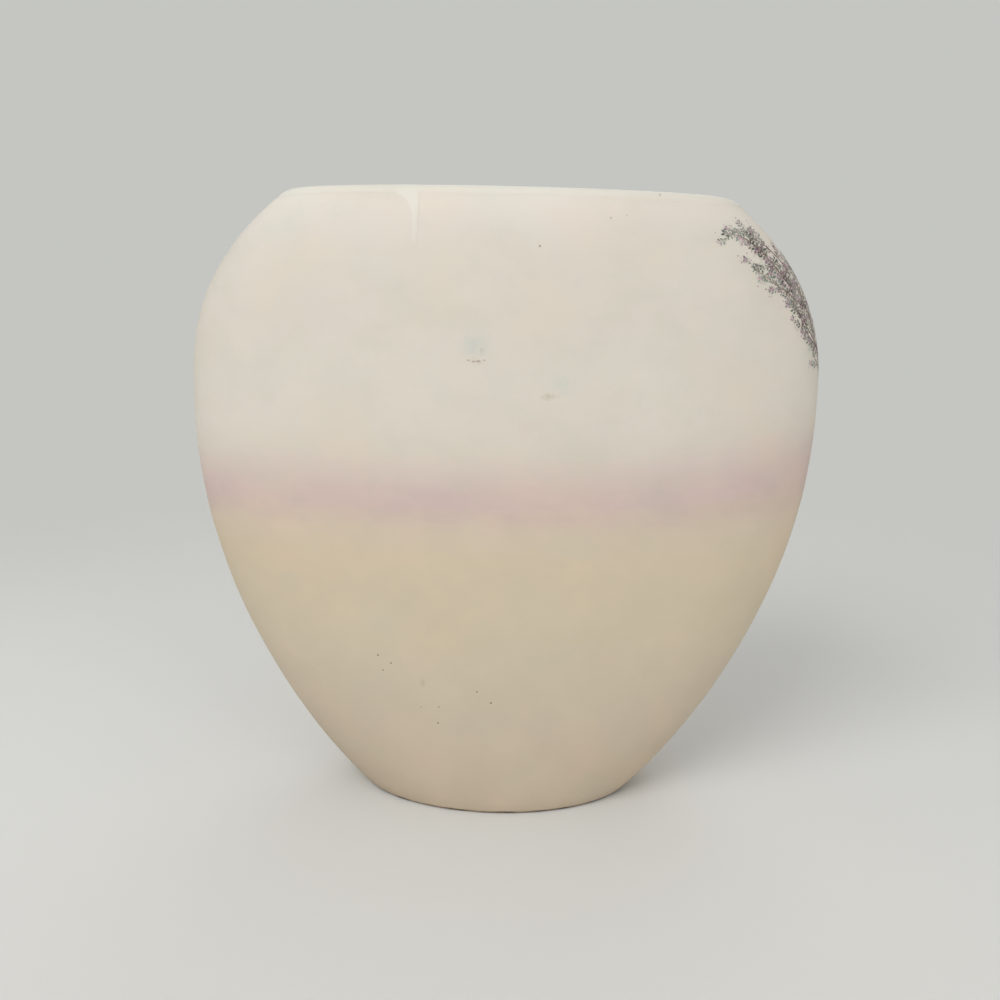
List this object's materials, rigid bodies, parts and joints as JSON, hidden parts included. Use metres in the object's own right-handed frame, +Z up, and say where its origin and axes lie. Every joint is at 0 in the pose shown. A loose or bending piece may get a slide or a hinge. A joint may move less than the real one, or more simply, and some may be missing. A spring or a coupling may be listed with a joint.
{
  "type": "pillow vase",
  "caption": "Flattened ceramic pillow vase with broad rounded shoulders, a level oval mouth and a small oval foot, for cut or dried flowers.",
  "frame": {"origin": "centre of the oval foot, on the surface that the vase stands on", "axes": "+Z up, +X across the broad face, -Y towards the broad face with the glaze run"},
  "size_m": [0.26, 0.084, 0.2525],
  "materials": {
    "painted_clay": "matte fired clay, airbrushed cream over a mauve band over tan",
    "bare_clay": "matte unglazed fired clay, worn at the foot ring",
    "white_glaze": "glossy white glaze"
  },
  "bodies": {
    "root": {"front_wall": "painted_clay", "back_wall": "painted_clay", "base_slab": "bare_clay", "mouth_rim": "painted_clay", "glaze_lining": "white_glaze", "glaze_run": "white_glaze"}
  },
  "joints": []
}
